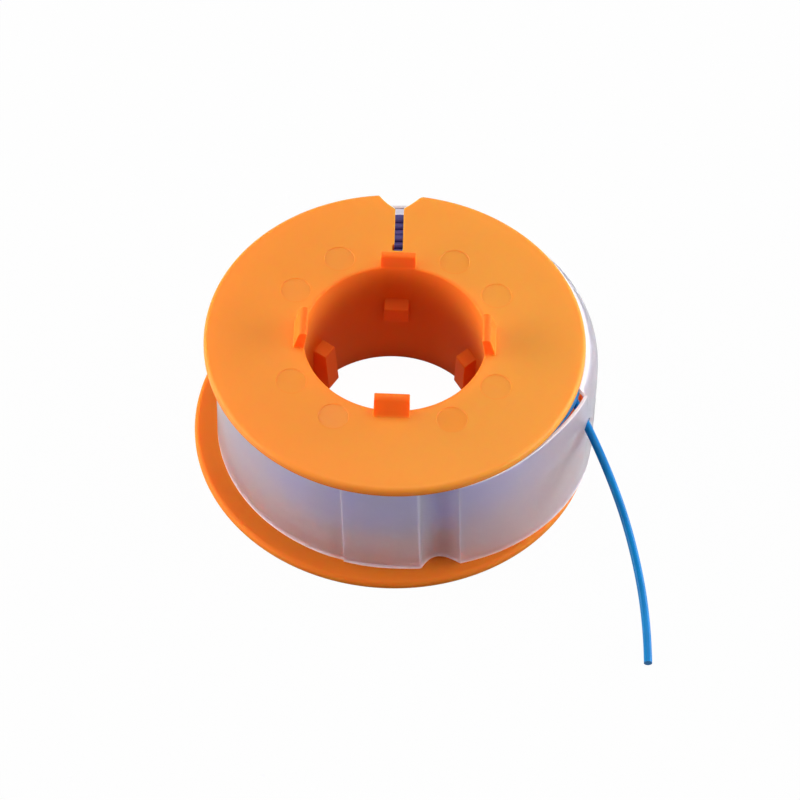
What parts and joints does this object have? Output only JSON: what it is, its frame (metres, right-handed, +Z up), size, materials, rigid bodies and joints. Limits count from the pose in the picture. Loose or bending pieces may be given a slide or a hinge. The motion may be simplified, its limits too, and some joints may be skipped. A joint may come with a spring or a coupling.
{
  "type": "trimmer line spool",
  "caption": "Flanged plastic spool of wound cutting line for a string trimmer head, held in by a thin frosted band that the line leaves through.",
  "frame": {"origin": "on the spool's axis, at the underside of the lower flange that it stands on", "axes": "+Z up along the spool's axis, +Y to the line slot in the upper flange, +X to the side where the line leaves"},
  "size_m": [0.0882, 0.093, 0.0322],
  "materials": {
    "spool": "satin moulded orange plastic",
    "line": "blue drawn line, slightly clear",
    "band": "frosted see-through plastic strip"
  },
  "bodies": {
    "root": {"spool": "spool", "line_winding": "line", "retaining_band": "band", "line_free_end": "line"}
  },
  "joints": []
}
